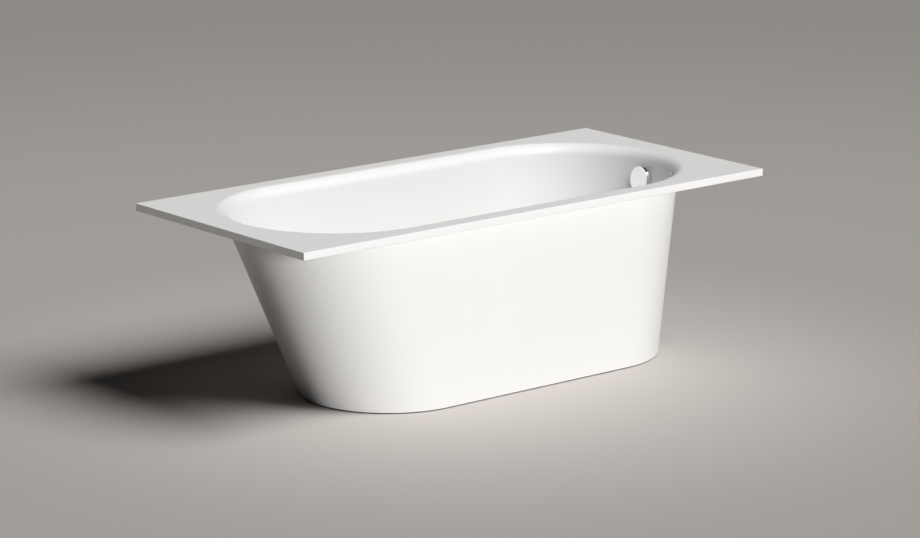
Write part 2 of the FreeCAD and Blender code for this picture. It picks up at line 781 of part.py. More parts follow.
def make_overflow_channel():
    neck_outer = overflow_hole_radius - loose_clearance
    neck_inner = neck_outer - channel_neck_wall
    channel = channel_block(0)
    channel = channel.fuse(rod(overflow_gasket_radius, Vector(0, 0, channel_front - channel_flange),
                               Vector(0, 0, channel_front)))
    channel = channel.fuse(rod(neck_outer, Vector(0, 0, channel_front), Vector(0, 0, -loose_clearance)))
    spigot_top = Vector(0, -channel_length, channel_end_centre)
    spigot_bottom = spigot_top - towards_back * hose_spigot_length
    channel = channel.fuse(rod(hose_spigot_radius, spigot_top, spigot_bottom))
    hollow = channel_block(channel_wall)
    neck_bore = rod(neck_inner, Vector(0, 0, channel_front - channel_flange), Vector(0, 0, 1))
    bosses = []
    for side in (-1, 1):
        seat = Vector(side * overflow_screw_pitch, 0, -loose_clearance)
        bosses.append(rod(overflow_screw_boss_radius, Vector(seat.x, 0, channel_front - channel_wall), seat))
    channel = channel.cut(neck_bore).cut(hollow)
    for boss in bosses:
        channel = channel.fuse(boss.common(rod(neck_outer, Vector(0, 0, 3 * channel_front), Vector())))
        centre = boss.CenterOfMass
        hole_radius = overflow_screw_radius + running_clearance
        hole_start = Vector(centre.x, 0, 2 * channel_front)
        channel = channel.cut(rod(hole_radius, hole_start, Vector(centre.x, 0, 1)))
    bore_top = spigot_top + towards_back * 2 * channel_wall
    channel = channel.cut(rod(hose_spigot_radius - hose_spigot_wall, bore_top, spigot_bottom - towards_back))
    channel = at_overflow(channel)
    half = cable_run * grommet_length
    return channel.cut(rod(grommet_radius, cable_exit - half, cable_exit + half))


# The hose leaves the channel straight down the wall and turns level towards the waste
hose_radius = hose_spigot_radius + seat_clearance + hose_wall
hose_top = overflow_spot(0, -channel_length - seat_clearance, channel_end_centre)
hose_corner = hose_top - up_wall * ((hose_top.z - spout_z) / up_wall.z)
hose_end = Vector(waste_x + spout_reach - hose_spigot_length, 0, spout_z)


def make_hose():
    path = tangent_path([hose_top, hose_corner, hose_end], [hose_bend_radius])
    hose = swept_tube(path, hose_radius, hose_spigot_radius + seat_clearance)
    section = math.pi * (hose_radius ** 2 - (hose_radius - hose_wall) ** 2)
    print("hose length", round(path.Length, 1),
          "volume share", round(hose.Volume / (section * path.Length), 4))
    return hose


def make_hose_clip(centre, direction):
    half = direction * clip_width / 2
    inner = hose_radius + running_clearance
    outer = inner + clip_thickness
    lug_side = towards_back * -1
    lug_up = lug_side.cross(direction)
    corner = centre - half + lug_side * (inner + clip_thickness / 2) - lug_up * clip_lug / 2
    lug = Part.makeBox(clip_width, clip_lug, clip_lug)
    lug.Placement = Placement(corner, Rotation(direction, lug_up * -1, lug_side, "ZXY"))
    lug.translate(lug_up * clip_lug)
    return ring(outer, inner, centre - half, centre + half).fuse(lug)


def build():
    os.makedirs("parts", exist_ok=True)

    # Shells
    save("tub_shell", make_tub_shell())
    save("outer_skirt", make_skirt())
    save("skirt_seal", make_skirt_seal())

    # Base board, cradle and levelling feet
    save("base_board", make_base_board())
    buffers = []
    for end, x in rail_places.items():
        save("cradle_rail_" + end, make_rail(x))
        for name, side in sides.items():
            buffers.append(make_skirt_buffer(x, side))
            save("levelling_stud_" + end + "_" + name, make_stud(x, side * foot_y))
            save("levelling_pad_" + end + "_" + name, make_pad(x, side * foot_y))
    save("skirt_buffers", *buffers)
    save("rail_screws", *make_rail_screws())
    save("upper_stud_nuts", *make_stud_nuts(board_underside))
    save("lower_stud_nuts", *make_stud_nuts(web_underside - nut_height))

    # Waste and tail pipe
    recess_floor = floor_top - waste_recess_depth
    save("waste_flange", make_waste_flange())
    save("waste_flange_seal", ring(flange_rim_radius - seat_clearance, waste_hole_radius + seat_clearance,
                                   on_waste(recess_floor), on_waste(flange_seat)))
    save("waste_gasket", ring(collar_radius, waste_hole_radius + seat_clearance,
                              on_waste(collar_top), on_waste(floor_underside)))
    save("waste_body", make_waste_body())
    save("tail_pipe", make_tail_pipe())
    save("tail_pipe_seal", ring(pipe_radius + spigot_wall, pipe_radius + running_clearance,
                                on_waste(spigot_end - pipe_seal_height), on_waste(spigot_end)))
    save("tail_pipe_nut", make_pipe_nut())

    # Plug and its lever
    seal_bottom = on_waste(plug_base)
    save("waste_plug", make_plug())
    save("plug_seal", ring(plug_seal_radius, plug_seal_radius - plug_seal_width,
                           seal_bottom, seal_bottom + up * plug_seal_height))
    save("plug_stem", rod(stem_radius, on_waste(stem_foot), seal_bottom + up * plug_seal_height))
    save("lift_lever", make_lever())
    save("lever_axle", rod(axle_radius, lever_pivot - towards_back * lever_width / 2,
                           lever_pivot + towards_back * axle_end))
    save("lever_crank", make_crank())
    save("pull_wire", make_pull_wire())

    # Overflow and its turning knob
    save("overflow_knob", make_knob())
    save("knob_spindle", make_spindle())
    save("cable_drum", make_drum())
    save("overflow_plate", make_overflow_plate())
    seal_bore = overflow_hole_radius + seat_clearance
    front_seal = ring(overflow_plate_radius, seal_bore, Vector(), Vector(0, 0, overflow_front_seal))
    gasket_front = Vector(0, 0, -overflow_boss_depth)
    gasket = ring(overflow_gasket_radius, seal_bore, Vector(0, 0, channel_front), gasket_front)
    save("overflow_front_seal", at_overflow(front_seal))
    save("overflow_gasket", at_overflow(gasket))
    save("overflow_screws", *make_overflow_screws())
    save("overflow_channel", make_overflow_channel())

    # Hose and control cable
    clip_from_end = hose_spigot_length / 2
    save("overflow_hose", make_hose())
    save("hose_clip_upper", make_hose_clip(hose_top - up_wall * clip_from_end, up_wall * -1))
    save("hose_clip_lower", make_hose_clip(hose_end + towards_drain * clip_from_end, towards_drain * -1))
    save("control_cable", make_cable())
    save("cable_grommet", make_grommet())
    save("cable_ferrule", make_lower_ferrule())

    print("knob axis", overflow_point, into_basin)
    print("lever pivot", lever_pivot, "swing", round(math.degrees(2 * lever_half_swing), 2))
    print("plug travel", round(plug_travel, 3), "wire travel", round(wire_travel, 3))
    print("waste axis", waste_x, "foot y", foot_y, "rails", rail_places)


build()
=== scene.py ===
import json
import math

import bmesh
import bpy
from mathutils import Matrix, Vector


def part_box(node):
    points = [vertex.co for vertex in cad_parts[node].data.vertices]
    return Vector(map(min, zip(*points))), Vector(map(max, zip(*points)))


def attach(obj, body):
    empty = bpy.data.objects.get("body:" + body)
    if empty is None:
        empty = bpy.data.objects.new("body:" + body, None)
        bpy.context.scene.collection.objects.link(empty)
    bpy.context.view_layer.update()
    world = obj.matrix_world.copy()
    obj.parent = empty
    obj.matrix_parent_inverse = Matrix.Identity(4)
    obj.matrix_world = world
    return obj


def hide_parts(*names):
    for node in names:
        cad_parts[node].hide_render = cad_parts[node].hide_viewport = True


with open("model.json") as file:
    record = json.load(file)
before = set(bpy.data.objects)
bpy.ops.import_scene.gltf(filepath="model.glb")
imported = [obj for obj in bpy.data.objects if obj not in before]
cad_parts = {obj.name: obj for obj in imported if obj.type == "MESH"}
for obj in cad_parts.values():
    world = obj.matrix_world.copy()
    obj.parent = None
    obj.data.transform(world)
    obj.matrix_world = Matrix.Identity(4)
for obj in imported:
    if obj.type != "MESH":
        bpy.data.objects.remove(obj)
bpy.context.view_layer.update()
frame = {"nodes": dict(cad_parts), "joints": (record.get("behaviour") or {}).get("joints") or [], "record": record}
nodes = frame["nodes"]
joints = {joint["name"]: joint for joint in frame["joints"]}
print("frame loaded,", len(nodes), "nodes")


upright = Vector((0, 0, 1))


def facing(axis):
    # Turns +Z to another direction
    return axis.to_track_quat("Z", "Y").to_matrix().to_4x4()


# Camera, fitted to the deck's corners in the photograph
camera = {
    "place": (-6.5121, -8.0312, 2.8196),
    "azimuth": -39.10,  # degrees round the tub, 0 looks along +Y
    "elevation": 13.59,
    "roll": -0.148,
    "lens": 142.28,  # mm
    "sensor": 36.0,
    "farthest": 200.0,
}


def setCamera():
    data = bpy.data.cameras.new("photoCamera")
    data.lens = camera["lens"]
    data.sensor_width = camera["sensor"]
    data.clip_end = camera["farthest"]
    azimuth = math.radians(camera["azimuth"])
    elevation = math.radians(camera["elevation"])
    back = Vector((math.sin(azimuth) * math.cos(elevation),
                   -math.cos(azimuth) * math.cos(elevation),
                   math.sin(elevation)))
    roll = Matrix.Rotation(math.radians(camera["roll"]), 4, "Z")
    eye = bpy.data.objects.new("photoCamera", data)
    eye.matrix_world = Matrix.Translation(camera["place"]) @ facing(back) @ roll
    bpy.context.scene.collection.objects.link(eye)
    bpy.context.scene.camera = eye


setCamera()
print("camera set")


# Studio: a grey floor with a painted pool of light round the tub, a soft key lamp, low lamps for single pieces and
# a weak room light
studio = {
    "floorSize": 60.0,
    "floorRough": (0.82, 0.88),
    "floorRoughScale": 3.0,
    "floorGloss": 0.1,
    "paintedPoolTones": {  # painted pool of light, brighter near the tub; by distance from the tub's middle, in metres
        0.4: (0.545, 0.512, 0.484),
        1.8: (0.410, 0.385, 0.364),
        7.0: (0.308, 0.289, 0.274),
    },
    "bounceTone": (0.27, 0.254, 0.240),
    "roomTone": (0.97, 0.98, 1.0),
    "roomStrength": 0.006,
    "backdropTone": (0.268, 0.254, 0.237),
    "ceilingTone": (0.06, 0.058, 0.055),
    "ceilingRise": (0.05, 0.45),  # upward share of a ray where the ceiling starts and is full
}
# Turn is in degrees from +X, where negative is the front, and rise in degrees above the floor.
# A lamp with "lights" lights these pieces alone, and one with "spares" lights all but these.
lamps = {
    "keyLamp": {
        "turn": -89.0, "rise": 50.5, "spread": 46.0, "strength": 3.5,
        "spares": ["outerSkirt", "studioFloor"],
    },
    "floorLamp": {
        "turn": -65.0, "rise": 48.0, "spread": 34.0, "strength": 3.65, "lights": ["studioFloor"],
    },
    "skirtLamp": {
        "turn": -96.0, "rise": 12.0, "spread": 12.0, "strength": 3.14, "lights": ["outerSkirt"],
    },
    "edgeLamp": {
        "turn": -96.0, "rise": 0.3, "spread": 0.5, "strength": 0.92, "lights": ["tubShell"],
    },
    "backLamp": {
        "turn": 75.0, "rise": 12.0, "spread": 20.0, "strength": 0.35, "lights": ["outerSkirt"],
    },
}


noiseReach = (0.3, 0.7)  # where nearly all of Blender's noise lies


def noiseMix(tree, scale, low, high, detail=2.0):
    # A noise value spread between low and high
    coords = tree.nodes.new("ShaderNodeTexCoord")
    noise = tree.nodes.new("ShaderNodeTexNoise")
    noise.inputs["Scale"].default_value = scale
    noise.inputs["Detail"].default_value = detail
    spread = tree.nodes.new("ShaderNodeMapRange")
    spread.inputs["From Min"].default_value = noiseReach[0]
    spread.inputs["From Max"].default_value = noiseReach[1]
    spread.inputs["To Min"].default_value = low
    spread.inputs["To Max"].default_value = high
    tree.links.new(coords.outputs["Object"], noise.inputs["Vector"])
    tree.links.new(noise.outputs["Fac"], spread.inputs["Value"])
    return spread.outputs["Result"]


def toneMix(tree, factor, first, second):
    mix = tree.nodes.new("ShaderNodeMix")
    mix.data_type = "RGBA"
    mix.inputs["A"].default_value = (*first, 1.0)
    mix.inputs["B"].default_value = (*second, 1.0)
    tree.links.new(factor, mix.inputs["Factor"])
    return mix.outputs["Result"]


def bumpFrom(tree, height, depth):
    bump = tree.nodes.new("ShaderNodeBump")
    bump.inputs["Distance"].default_value = depth
    tree.links.new(height, bump.inputs["Height"])
    return bump.outputs["Normal"]


def shaderOf(name):
    material = bpy.data.materials.new(name)
    material.use_nodes = True
    return material, material.node_tree, material.node_tree.nodes["Principled BSDF"]


def seenDirectly(tree):
    # 1 for camera and mirror rays, 0 for bounced light
    path = tree.nodes.new("ShaderNodeLightPath")
    seen = tree.nodes.new("ShaderNodeMath")
    seen.operation = "MAXIMUM"
    tree.links.new(path.outputs["Is Camera Ray"], seen.inputs[0])
    tree.links.new(path.outputs["Is Glossy Ray"], seen.inputs[1])
    return seen.outputs["Value"]


def makeFloor():
    # Camera and mirror rays see the pale floor with a painted pool of light, brighter near the tub; bounced light
    # meets a darker one
    half = studio["floorSize"] / 2
    mesh = bpy.data.meshes.new("studioFloor")
    corners = [(-half, -half, 0), (half, -half, 0), (half, half, 0), (-half, half, 0)]
    mesh.from_pydata(corners, [], [(0, 1, 2, 3)])
    floor = bpy.data.objects.new("studioFloor", mesh)
    bpy.context.scene.collection.objects.link(floor)
    material, tree, shader = shaderOf("paleFloor")
    coords = tree.nodes.new("ShaderNodeTexCoord")
    distance = tree.nodes.new("ShaderNodeVectorMath")
    distance.operation = "LENGTH"
    tree.links.new(coords.outputs["Object"], distance.inputs[0])
    farthest = max(studio["paintedPoolTones"])
    share = tree.nodes.new("ShaderNodeMapRange")
    share.inputs["From Max"].default_value = farthest
    tree.links.new(distance.outputs["Value"], share.inputs["Value"])
    # Painted light: the floor's tone brightens towards the tub's middle, standing in for a pool of light
    paintedLightPool = tree.nodes.new("ShaderNodeValToRGB")
    paintedLightPool.color_ramp.interpolation = "EASE"
    paintedLightPool.color_ramp.elements.new(0.5)  # a third stop, placed below
    for stop, (reach, tone) in zip(paintedLightPool.color_ramp.elements, studio["paintedPoolTones"].items()):
        stop.position = reach / farthest
        stop.color = (*tone, 1.0)
    tree.links.new(share.outputs["Result"], paintedLightPool.inputs["Fac"])
    paint = tree.nodes.new("ShaderNodeMix")
    paint.data_type = "RGBA"
    paint.inputs["A"].default_value = (*studio["bounceTone"], 1.0)
    tree.links.new(seenDirectly(tree), paint.inputs["Factor"])
    tree.links.new(paintedLightPool.outputs["Color"], paint.inputs["B"])
    tree.links.new(paint.outputs["Result"], shader.inputs["Base Color"])
    rough = noiseMix(tree, studio["floorRoughScale"], *studio["floorRough"])
    tree.links.new(rough, shader.inputs["Roughness"])
    shader.inputs["Specular IOR Level"].default_value = studio["floorGloss"]
    mesh.materials.append(material)


def makeLamps():
    for name, look in lamps.items():
        turn = math.radians(look["turn"])
        rise = math.radians(look["rise"])
        level = math.cos(rise)
        towards = Vector((math.cos(turn) * level, math.sin(turn) * level, math.sin(rise)))
        lamp = bpy.data.lights.new(name, "SUN")
        lamp.energy = look["strength"]
        lamp.angle = math.radians(look["spread"])
        holder = bpy.data.objects.new(name, lamp)
        holder.matrix_world = facing(towards)
        bpy.context.scene.collection.objects.link(holder)
        links = bpy.data.collections.new(name + "Links")
        for piece in look.get("lights", look.get("spares")):
            links.objects.link(bpy.data.objects[piece])
        for entry in links.collection_objects:
            entry.light_linking.link_state = "EXCLUDE" if "spares" in look else "INCLUDE"
        holder.light_linking.receiver_collection = links


def makeRoom():
    # Camera and mirror rays see the grey backdrop and a darker ceiling, the rest gets the weak room light
    world = bpy.data.worlds.new("studioRoom")
    world.use_nodes = True
    tree = world.node_tree
    room = tree.nodes["Background"]
    room.inputs["Color"].default_value = (*studio["roomTone"], 1.0)
    room.inputs["Strength"].default_value = studio["roomStrength"]
    backdrop = tree.nodes.new("ShaderNodeBackground")
    coords = tree.nodes.new("ShaderNodeTexCoord")
    upward = tree.nodes.new("ShaderNodeSeparateXYZ")
    tree.links.new(coords.outputs["Generated"], upward.inputs["Vector"])
    rise = tree.nodes.new("ShaderNodeMapRange")
    rise.inputs["From Min"].default_value = studio["ceilingRise"][0]
    rise.inputs["From Max"].default_value = studio["ceilingRise"][1]
    tree.links.new(upward.outputs["Z"], rise.inputs["Value"])
    shade = toneMix(tree, rise.outputs["Result"], studio["backdropTone"], studio["ceilingTone"])
    tree.links.new(shade, backdrop.inputs["Color"])
    both = tree.nodes.new("ShaderNodeMixShader")
    tree.links.new(seenDirectly(tree), both.inputs["Fac"])
    tree.links.new(room.outputs["Background"], both.inputs[1])
    tree.links.new(backdrop.outputs["Background"], both.inputs[2])
    tree.links.new(both.outputs["Shader"], tree.nodes["World Output"].inputs["Surface"])
    bpy.context.scene.world = world


makeFloor()
makeRoom()
bpy.context.scene.view_settings.view_transform = "Standard"
print("floor and room made")


# Finishes
castMineral = {
    "tone": (0.86, 0.855, 0.846),
    "cloud": (0.845, 0.839, 0.828),
    "cloudScale": 2.2,
    "cloudDetail": 4.0,
    "rough": (0.40, 0.47),
    "roughScale": 14.0,
    "roughDetail": 3.0,
    "grainScale": 520.0,
    "grainDepth": 0.00004,
}


def makeCastMineral():
    look = castMineral
    material, tree, shader = shaderOf("castMineralWhite")
    clouds = noiseMix(tree, look["cloudScale"], 0.0, 1.0, look["cloudDetail"])
    tree.links.new(toneMix(tree, clouds, look["tone"], look["cloud"]), shader.inputs["Base Color"])
    rough = noiseMix(tree, look["roughScale"], *look["rough"], look["roughDetail"])
    tree.links.new(rough, shader.inputs["Roughness"])
    grain = noiseMix(tree, look["grainScale"], 0.0, 1.0)
    tree.links.new(bumpFrom(tree, grain, look["grainDepth"]), shader.inputs["Normal"])
    return material


chromePlate = {
    "tone": (0.91, 0.91, 0.915),
    "deep": (0.87, 0.875, 0.88),
    "cloudScale": 40.0,
    "rough": (0.03, 0.07),
    "roughScale": 260.0,
    "roughDetail": 3.0,
}


def makeChromePlate():
    look = chromePlate
    material, tree, shader = shaderOf("chromePlate")
    shader.inputs["Metallic"].default_value = 1.0
    clouds = noiseMix(tree, look["cloudScale"], 0.0, 1.0)
    tree.links.new(toneMix(tree, clouds, look["tone"], look["deep"]), shader.inputs["Base Color"])
    rough = noiseMix(tree, look["roughScale"], *look["rough"], look["roughDetail"])
    tree.links.new(rough, shader.inputs["Roughness"])
    return material


zincSteel = {
    "bright": (0.66, 0.67, 0.69),
    "dull": (0.50, 0.51, 0.53),
    "spangle": 160.0,
    "rough": (0.32, 0.5),
}


def makeZincSteel():
    # Zinc crystals show as flat patches of slightly different grey
    look = zincSteel
    material, tree, shader = shaderOf("zincSteel")
    shader.inputs["Metallic"].default_value = 1.0
    coords = tree.nodes.new("ShaderNodeTexCoord")
    crystals = tree.nodes.new("ShaderNodeTexVoronoi")
    crystals.inputs["Scale"].default_value = look["spangle"]
    tree.links.new(coords.outputs["Object"], crystals.inputs["Vector"])
    grey = tree.nodes.new("ShaderNodeSeparateColor")
    tree.links.new(crystals.outputs["Color"], grey.inputs["Color"])
    shade = toneMix(tree, grey.outputs["Red"], look["bright"], look["dull"])
    tree.links.new(shade, shader.inputs["Base Color"])
    rough = tree.nodes.new("ShaderNodeMapRange")
    rough.inputs["To Min"].default_value = look["rough"][0]
    rough.inputs["To Max"].default_value = look["rough"][1]
    tree.links.new(grey.outputs["Green"], rough.inputs["Value"])
    tree.links.new(rough.outputs["Result"], shader.inputs["Roughness"])
    return material


stainless = {
    "bright": (0.68, 0.68, 0.67),
    "dull": (0.57, 0.57, 0.56),
    "stretch": (60.0, 60.0, 900.0),
    "lineDepth": 0.00003,
    "rough": (0.24, 0.36),
    "roughScale": 180.0,
}


def makeStainless():
    # Fine turned or drawn lines
    look = stainless
    material, tree, shader = shaderOf("stainless")
    shader.inputs["Metallic"].default_value = 1.0
    coords = tree.nodes.new("ShaderNodeTexCoord")
    lines = tree.nodes.new("ShaderNodeMapping")
    lines.inputs["Scale"].default_value = look["stretch"]
    noise = tree.nodes.new("ShaderNodeTexNoise")
    noise.inputs["Scale"].default_value = 1.0
    tree.links.new(coords.outputs["Object"], lines.inputs["Vector"])
    tree.links.new(lines.outputs["Vector"], noise.inputs["Vector"])
    shade = toneMix(tree, noise.outputs["Fac"], look["bright"], look["dull"])
    tree.links.new(shade, shader.inputs["Base Color"])
    tree.links.new(noiseMix(tree, look["roughScale"], *look["rough"]), shader.inputs["Roughness"])
    tree.links.new(bumpFrom(tree, noise.outputs["Fac"], look["lineDepth"]), shader.inputs["Normal"])
    return material


birchBoard = {
    "pale": (0.68, 0.53, 0.36),
    "dark": (0.52, 0.37, 0.22),
    "grain": (3.0, 46.0, 46.0),  # long along X
    "grainDetail": 6.0,
    "grainDepth": 0.0002,
    "ply": 0.0015,  # thickness of one veneer
    "rough": (0.55, 0.75),
    "roughScale": 60.0,
}


def makeBirchBoard():
    # Long grain on the faces, darker crossing veneers on the sawn edge
    look = birchBoard
    bandsPerUnit = 20.0  # of the wave texture at a scale of 1
    material, tree, shader = shaderOf("birchBoard")
    coords = tree.nodes.new("ShaderNodeTexCoord")
    along = tree.nodes.new("ShaderNodeMapping")
    along.inputs["Scale"].default_value = look["grain"]
    fibre = tree.nodes.new("ShaderNodeTexNoise")
    fibre.inputs["Scale"].default_value = 1.0
    fibre.inputs["Detail"].default_value = look["grainDetail"]
    tree.links.new(coords.outputs["Object"], along.inputs["Vector"])
    tree.links.new(along.outputs["Vector"], fibre.inputs["Vector"])
    plies = tree.nodes.new("ShaderNodeTexWave")
    plies.bands_direction = "Z"
    plies.inputs["Scale"].default_value = 1.0 / (bandsPerUnit * 2 * look["ply"])
    plies.inputs["Distortion"].default_value = 0.0
    tree.links.new(coords.outputs["Object"], plies.inputs["Vector"])
    flat = tree.nodes.new("ShaderNodeNewGeometry")
    upright = tree.nodes.new("ShaderNodeSeparateXYZ")
    tree.links.new(flat.outputs["Normal"], upright.inputs["Vector"])
    face = tree.nodes.new("ShaderNodeMath")
    face.operation = "ABSOLUTE"
    tree.links.new(upright.outputs["Z"], face.inputs[0])
    pick = tree.nodes.new("ShaderNodeMix")
    tree.links.new(face.outputs["Value"], pick.inputs["Factor"])
    tree.links.new(plies.outputs["Fac"], pick.inputs["A"])
    tree.links.new(fibre.outputs["Fac"], pick.inputs["B"])
    shade = toneMix(tree, pick.outputs["Result"], look["pale"], look["dark"])
    tree.links.new(shade, shader.inputs["Base Color"])
    tree.links.new(noiseMix(tree, look["roughScale"], *look["rough"]), shader.inputs["Roughness"])
    tree.links.new(bumpFrom(tree, fibre.outputs["Fac"], look["grainDepth"]), shader.inputs["Normal"])
    return material


# Moulded plastics and rubbers
moulded = {
    "white_sealant": {
        "name": "whiteSealant",
        "tone": (0.85, 0.85, 0.84), "cloud": (0.81, 0.81, 0.80), "cloudScale": 30.0,
        "rough": (0.42, 0.55), "grainScale": 300.0, "grainDepth": 0.0001,
    },
    "black_rubber": {
        "name": "blackRubber",
        "tone": (0.03, 0.03, 0.032), "cloud": (0.045, 0.045, 0.046), "cloudScale": 60.0,
        "rough": (0.65, 0.82), "grainScale": 900.0, "grainDepth": 0.00006,
    },
    "pale_plastic": {
        "name": "palePlastic",
        "tone": (0.74, 0.74, 0.72), "cloud": (0.70, 0.70, 0.68), "cloudScale": 25.0,
        "rough": (0.36, 0.46), "grainScale": 1200.0, "grainDepth": 0.00003,
    },
    "grey_hose": {
        "name": "greyHose",
        "tone": (0.40, 0.41, 0.42), "cloud": (0.35, 0.36, 0.37), "cloudScale": 35.0,
        "rough": (0.38, 0.5), "grainScale": 700.0, "grainDepth": 0.00005,
    },
    "cable_sleeve": {
        "name": "cableSleeve",
        "tone": (0.05, 0.05, 0.055), "cloud": (0.07, 0.07, 0.075), "cloudScale": 80.0,
        "rough": (0.35, 0.5), "grainScale": 900.0, "grainDepth": 0.00003,
    },
}
mouldedCloudDetail = 3.0
mouldedRoughScale = 90.0


def makeMoulded(look):
    # Faint clouds and a fine mould grain
    material, tree, shader = shaderOf(look["name"])
    clouds = noiseMix(tree, look["cloudScale"], 0.0, 1.0, mouldedCloudDetail)
    tree.links.new(toneMix(tree, clouds, look["tone"], look["cloud"]), shader.inputs["Base Color"])
    tree.links.new(noiseMix(tree, mouldedRoughScale, *look["rough"]), shader.inputs["Roughness"])
    grain = noiseMix(tree, look["grainScale"], 0.0, 1.0)
    tree.links.new(bumpFrom(tree, grain, look["grainDepth"]), shader.inputs["Normal"])
    return material


finishes = {
    "cast_white": makeCastMineral(),
    "chrome_plate": makeChromePlate(),
    "birch_board": makeBirchBoard(),
    "zinc_steel": makeZincSteel(),
    "stainless": makeStainless(),
}
for slot, look in moulded.items():
    finishes[slot] = makeMoulded(look)


def dressNodes():
    for row in frame["record"]["subparts"]:
        mesh = nodes[row["node"]].data
        mesh.materials.clear()
        mesh.materials.append(finishes[row["material_slot"]])


dressNodes()
print("finishes made:", len(finishes))


# Mesh helpers
weld = 2e-6  # metres
touching = 1e-6
sharpAngle = 32.0  # degrees, edges above it stay sharp
flatWeight = 80  # above 50 the larger faces lead


def tidyMesh(mesh):
    # Welds near points, drops slivers and turns every face outwards
    work = bmesh.new()
    work.from_mesh(mesh)
    bmesh.ops.remove_doubles(work, verts=work.verts, dist=weld)
    bmesh.ops.dissolve_degenerate(work, edges=work.edges, dist=weld)
    bmesh.ops.recalc_face_normals(work, faces=work.faces)
    work.to_mesh(mesh)
    work.free()


def keepFlat(piece):
    # Large flat faces keep their own shading, so that only the small rounds bend it
    weights = piece.modifiers.new("flatFaces", "WEIGHTED_NORMAL")
    weights.mode = "FACE_AREA"
    weights.weight = flatWeight
    weights.keep_sharp = True


def addPiece(name, mesh, body, slot, replaced):
    tidyMesh(mesh)
    mesh.shade_smooth()
    mesh.set_sharp_from_angle(angle=math.radians(sharpAngle))
    mesh.materials.clear()
    mesh.materials.append(finishes[slot])
    piece = bpy.data.objects.new(name, mesh)
    bpy.context.scene.collection.objects.link(piece)
    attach(piece, body)
    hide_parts(*replaced)
    keepFlat(piece)
    print("piece", name, len(mesh.polygons), "faces")


def skinRings(name, rings, closed=False):
    # Quads between rings of equally many points; open ends get a cap
    count = len(rings[0])
    points = [point for ring in rings for point in ring]
    faces = []
    for level in range(len(rings) if closed else len(rings) - 1):
        here = level * count
        there = (level + 1) % len(rings) * count
        for step in range(count):
            after = (step + 1) % count
            faces.append((here + step, here + after, there + after, there + step))
    if not closed:
        faces.append(tuple(range(count)))
        faces.append(tuple(range(len(points) - count, len(points))))
    mesh = bpy.data.meshes.new(name)
    mesh.from_pydata(points, [], faces)
    tidyMesh(mesh)
    return mesh


def bevelEdges(mesh, wanted, width, steps):
    work = bmesh.new()
    work.from_mesh(mesh)
    picked = [edge for edge in work.edges if wanted(*[vert.co for vert in edge.verts])]
    bmesh.ops.bevel(work, geom=picked, offset=width, offset_type="OFFSET", segments=steps,
                    profile=0.5, affect="EDGES", clamp_overlap=True)
    work.to_mesh(mesh)
    work.free()


def combine(mesh, tools, operation):
    # Cuts or joins other meshes, one after the other
    holder = bpy.data.objects.new("combined", mesh)
    bpy.context.scene.collection.objects.link(holder)
    helpers = []
    for toolMesh in tools:
        tool = bpy.data.objects.new("tool", toolMesh)
        bpy.context.scene.collection.objects.link(tool)
        step = holder.modifiers.new("combine", "BOOLEAN")
        step.operation = operation
        step.solver = "EXACT"
        step.object = tool
        helpers.append(tool)
    graph = bpy.context.evaluated_depsgraph_get()
    result = bpy.data.meshes.new_from_object(holder.evaluated_get(graph))
    for thing in [holder, *helpers]:
        bpy.data.objects.remove(thing)
    tidyMesh(result)
    return result


def roundTool(start, end, radius, segments=96):
    along = end - start
    work = bmesh.new()
    bmesh.ops.create_cone(work, cap_ends=True, segments=segments, radius1=radius, radius2=radius,
                          depth=along.length)
    mesh = bpy.data.meshes.new("roundTool")
    work.to_mesh(mesh)
    work.free()
    mesh.transform(Matrix.Translation((start + end) / 2) @ facing(along))
    return mesh


def boxTool(low, high, softened=0.0):
    work = bmesh.new()
    bmesh.ops.create_cube(work, size=1.0)
    bmesh.ops.scale(work, vec=high - low, verts=work.verts)
    if softened:
        bmesh.ops.bevel(work, geom=work.edges, offset=softened, offset_type="OFFSET", segments=2,
                        profile=0.5, affect="EDGES")
    bmesh.ops.translate(work, vec=(low + high) / 2, verts=work.verts)
    mesh = bpy.data.meshes.new("boxTool")
    work.to_mesh(mesh)
    work.free()
    return mesh


def joinMeshes(name, meshes):
    work = bmesh.new()
    for mesh in meshes:
        work.from_mesh(mesh)
    joined = bpy.data.meshes.new(name)
    work.to_mesh(joined)
    work.free()
    return joined


# Tub shell: a flat deck, a rolled rim, leaning walls and a rounded floor, all on one run of oval rings
tub = {
    "edgeRound": 0.0012,
    "edgeSteps": 3,
    "sideMargin": 0.081,  # deck edge to the wall's top
    "headMargin": 0.097,
    "drainMargin": 0.105,
    "sideRun": 0.057,  # how far the wall comes in by the floor
    "headRun": 0.193,
    "drainRun": 0.076,
    "deckThickness": 0.022,
    "floorHeight": 0.140,
    "floorThickness": 0.007,
    "wall": 0.0055,
    "rimRoll": 0.036,
    "floorRound": 0.080,
    "endSteps": 64,  # quads round each half circle
    "sideSteps": 40,
    "rollSteps": 14,
    "wallSteps": 18,
    "deckSteps": 5,
    "closingShares": (0.2, 0.4, 0.6, 0.8, 0.95),  # rings between the floor's edge and its middle line
}
deckLow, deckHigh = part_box("tub_shell")
rimHeight = deckHigh.z
wallDrop = rimHeight - tub["floorHeight"]
sideLean = tub["sideRun"] / wallDrop
headLean = tub["headRun"] / wallDrop
drainLean = tub["drainRun"] / wallDrop


def basinOval(z):
    # Half width, and the middles of the two half circles
    fall = rimHeight - z
    halfWidth = deckHigh.y - tub["sideMargin"] - sideLean * fall
    headMiddle = deckLow.x + tub["headMargin"] + headLean * fall + halfWidth
    drainMiddle = deckHigh.x - tub["drainMargin"] - drainLean * fall - halfWidth
    return halfWidth, headMiddle, drainMiddle


